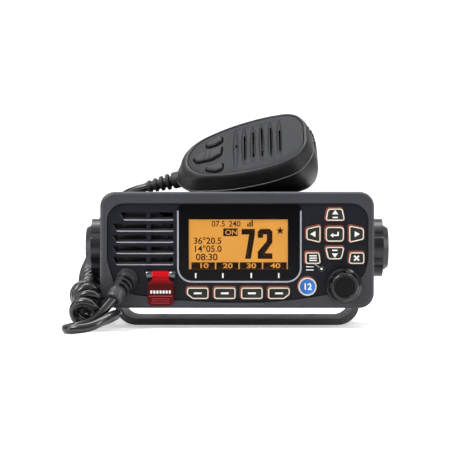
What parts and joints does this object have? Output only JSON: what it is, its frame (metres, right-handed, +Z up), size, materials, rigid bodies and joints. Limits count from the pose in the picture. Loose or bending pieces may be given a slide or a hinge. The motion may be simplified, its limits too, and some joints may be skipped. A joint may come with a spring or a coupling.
{
  "type": "marine vhf radio",
  "caption": "Fixed-mount marine radio on a tilting U bracket, with display, keys, rotary knob, red flip cover and a fist microphone on a curly cord lying on top.",
  "frame": {"origin": "middle of the bracket's underside, on the mounting surface", "axes": "+X to the right seen from the front, +Y from the front face to the rear, +Z up"},
  "size_m": [0.1877, 0.1679, 0.1258],
  "materials": {
    "case_plastic": "satin, fine grain",
    "fascia_plastic": "satin",
    "knob_plastic": "satin",
    "gloss_black": "gloss",
    "bracket_metal": "satin powder coat",
    "chassis_metal": "satin powder coat",
    "steel": "brushed",
    "brass": "turned",
    "chrome_plate": "bright",
    "rubber_black": "matt",
    "rubber_pale": "matt, translucent",
    "cord_rubber": "smooth, slightly shiny",
    "window_plastic": "gloss",
    "window_glass": "clear",
    "trim_silver": "silver paint",
    "lcd_amber": "lit amber",
    "light_guide": "frosted",
    "circuit_board": "solder mask",
    "speaker_paper": "matt paper",
    "key_rubber": "matt, pale ring and glowing sides",
    "key_blue": "matt",
    "cover_red": "clear red",
    "button_red": "matt",
    "mic_face": "satin",
    "mic_key": "matt"
  },
  "bodies": {
    "bracket": {"mounting_bracket": "bracket_metal"},
    "radio": {"pivot_washers": "rubber_black", "front_case": "case_plastic", "front_fascia": "fascia_plastic", "case_gasket": "rubber_black", "rear_chassis": "chassis_metal", "chassis_screws": "steel", "window_mask": "window_plastic", "display_window": "window_glass", "window_trim": "trim_silver", "lcd_panel": "lcd_amber", "lcd_backlight": "light_guide", "front_board": "circuit_board", "keypad_mat": "rubber_pale", "main_board": "circuit_board", "speaker_frame": "steel", "speaker_cone": "speaker_paper", "speaker_magnet": "steel", "encoder_body": "steel", "cover_pin": "steel", "cord_gland": "rubber_black", "antenna_socket": "chrome_plate", "power_grommet": "rubber_black", "cord_lead": "cord_rubber", "cord_curl_lower": "cord_rubber", "cord_curl_upper": "cord_rubber", "cord_tail": "cord_rubber"},
    "knob_left": {"side_knob_left": "knob_plastic", "knob_stud_left": "steel"},
    "knob_right": {"side_knob_right": "knob_plastic", "knob_stud_right": "steel"},
    "encoder_push": {"encoder_plunger": "brass"},
    "encoder_turn": {"volume_shaft": "steel", "volume_knob": "gloss_black"},
    "distress_cover": {"distress_cover": "cover_red"},
    "distress_button": {"distress_button": "button_red"},
    "mic": {"mic_front_shell": "case_plastic", "mic_rear_shell": "case_plastic", "mic_face_panel": "mic_face", "mic_board": "circuit_board", "mic_capsule": "steel", "mic_strain_relief": "rubber_black", "mic_hanger_button": "case_plastic"},
    "mic_key_upper": {"mic_key_upper": "mic_key"},
    "mic_key_lower": {"mic_key_lower": "mic_key"},
    "mic_rocker": {"mic_rocker_key": "mic_key"},
    "mic_talk": {"mic_ptt_bar": "rubber_black"},
    "softkey_1": {"softkey_1": "key_rubber"},
    "softkey_2": {"softkey_2": "key_rubber"},
    "softkey_3": {"softkey_3": "key_rubber"},
    "softkey_4": {"softkey_4": "key_rubber"},
    "key_up": {"key_up": "key_rubber"},
    "key_down": {"key_down": "key_rubber"},
    "key_left": {"key_left": "key_rubber"},
    "key_right": {"key_right": "key_rubber"},
    "key_enter": {"key_enter": "key_rubber"},
    "key_menu": {"key_menu": "key_rubber"},
    "key_clear": {"key_clear": "key_rubber"},
    "key_channel": {"key_channel": "key_blue"}
  },
  "joints": [
    {"name": "radio_tilt", "type": "hinge", "parent": "bracket", "child": "radio", "pos_m": [0, 0, 0.045], "axis": [1, 0, 0], "range_deg": [-15, 10]},
    {"name": "left_knob_turn", "type": "hinge", "parent": "radio", "child": "knob_left", "pos_m": [-0.08, 0, 0.045], "axis": [1, 0, 0], "continuous": true},
    {"name": "right_knob_turn", "type": "hinge", "parent": "radio", "child": "knob_right", "pos_m": [0.08, 0, 0.045], "axis": [1, 0, 0], "continuous": true},
    {"name": "volume_push", "type": "slide", "parent": "radio", "child": "encoder_push", "axis": [0, 1, 0], "range_m": [0, 0.001], "stiffness_N_per_m": 2500, "springref_m": -0.0004},
    {"name": "volume_turn", "type": "hinge", "parent": "encoder_push", "child": "encoder_turn", "pos_m": [0.0606, -0.06, 0.0246], "axis": [0, 1, 0], "continuous": true},
    {"name": "cover_flip", "type": "hinge", "parent": "radio", "child": "distress_cover", "pos_m": [-0.0435, -0.0541, 0.0311], "axis": [-1, 0, 0], "range_deg": [0, 110], "stiffness_Nm_per_rad": 0.002, "springref_deg": -20.05},
    {"name": "distress_press", "type": "slide", "parent": "radio", "child": "distress_button", "axis": [0, 1, 0], "range_m": [0, 0.0008], "stiffness_N_per_m": 2000, "springref_m": -0.0004},
    {"name": "mic_lift", "type": "slide", "parent": "radio", "child": "mic", "axis": [0, 0, 1], "range_m": [0, 0.06]},
    {"name": "mic_upper_press", "type": "slide", "parent": "mic", "child": "mic_key_upper", "axis": [0.2706, 0.5383, -0.7981], "range_m": [0, 0.0008], "stiffness_N_per_m": 2000, "springref_m": -0.0004},
    {"name": "mic_lower_press", "type": "slide", "parent": "mic", "child": "mic_key_lower", "axis": [0.2706, 0.5383, -0.7981], "range_m": [0, 0.0008], "stiffness_N_per_m": 2000, "springref_m": -0.0004},
    {"name": "mic_rocker_tilt", "type": "hinge", "parent": "mic", "child": "mic_rocker", "pos_m": [-0.01697, 0.00652, 0.09852], "axis": [0, 0.829, 0.5592], "range_deg": [-3, 3], "stiffness_Nm_per_rad": 0.2},
    {"name": "mic_talk_press", "type": "slide", "parent": "mic", "child": "mic_talk", "axis": [0, -0.829, -0.5592], "range_m": [0, 0.0012], "stiffness_N_per_m": 2500, "springref_m": -0.0006},
    {"name": "softkey_1_press", "type": "slide", "parent": "radio", "child": "softkey_1", "axis": [0, 1, 0], "range_m": [0, 0.0008], "stiffness_N_per_m": 2000, "springref_m": -0.0004},
    {"name": "softkey_2_press", "type": "slide", "parent": "radio", "child": "softkey_2", "axis": [0, 1, 0], "range_m": [0, 0.0008], "stiffness_N_per_m": 2000, "springref_m": -0.0004},
    {"name": "softkey_3_press", "type": "slide", "parent": "radio", "child": "softkey_3", "axis": [0, 1, 0], "range_m": [0, 0.0008], "stiffness_N_per_m": 2000, "springref_m": -0.0004},
    {"name": "softkey_4_press", "type": "slide", "parent": "radio", "child": "softkey_4", "axis": [0, 1, 0], "range_m": [0, 0.0008], "stiffness_N_per_m": 2000, "springref_m": -0.0004},
    {"name": "key_up_press", "type": "slide", "parent": "radio", "child": "key_up", "axis": [0, 1, 0], "range_m": [0, 0.0008], "stiffness_N_per_m": 2000, "springref_m": -0.0004},
    {"name": "key_down_press", "type": "slide", "parent": "radio", "child": "key_down", "axis": [0, 1, 0], "range_m": [0, 0.0008], "stiffness_N_per_m": 2000, "springref_m": -0.0004},
    {"name": "key_left_press", "type": "slide", "parent": "radio", "child": "key_left", "axis": [0, 1, 0], "range_m": [0, 0.0008], "stiffness_N_per_m": 2000, "springref_m": -0.0004},
    {"name": "key_right_press", "type": "slide", "parent": "radio", "child": "key_right", "axis": [0, 1, 0], "range_m": [0, 0.0008], "stiffness_N_per_m": 2000, "springref_m": -0.0004},
    {"name": "key_enter_press", "type": "slide", "parent": "radio", "child": "key_enter", "axis": [0, 1, 0], "range_m": [0, 0.0008], "stiffness_N_per_m": 2000, "springref_m": -0.0004},
    {"name": "key_menu_press", "type": "slide", "parent": "radio", "child": "key_menu", "axis": [0, 1, 0], "range_m": [0, 0.0008], "stiffness_N_per_m": 2000, "springref_m": -0.0004},
    {"name": "key_clear_press", "type": "slide", "parent": "radio", "child": "key_clear", "axis": [0, 1, 0], "range_m": [0, 0.0008], "stiffness_N_per_m": 2000, "springref_m": -0.0004},
    {"name": "key_channel_press", "type": "slide", "parent": "radio", "child": "key_channel", "axis": [0, 1, 0], "range_m": [0, 0.0008], "stiffness_N_per_m": 2000, "springref_m": -0.0004}
  ]
}
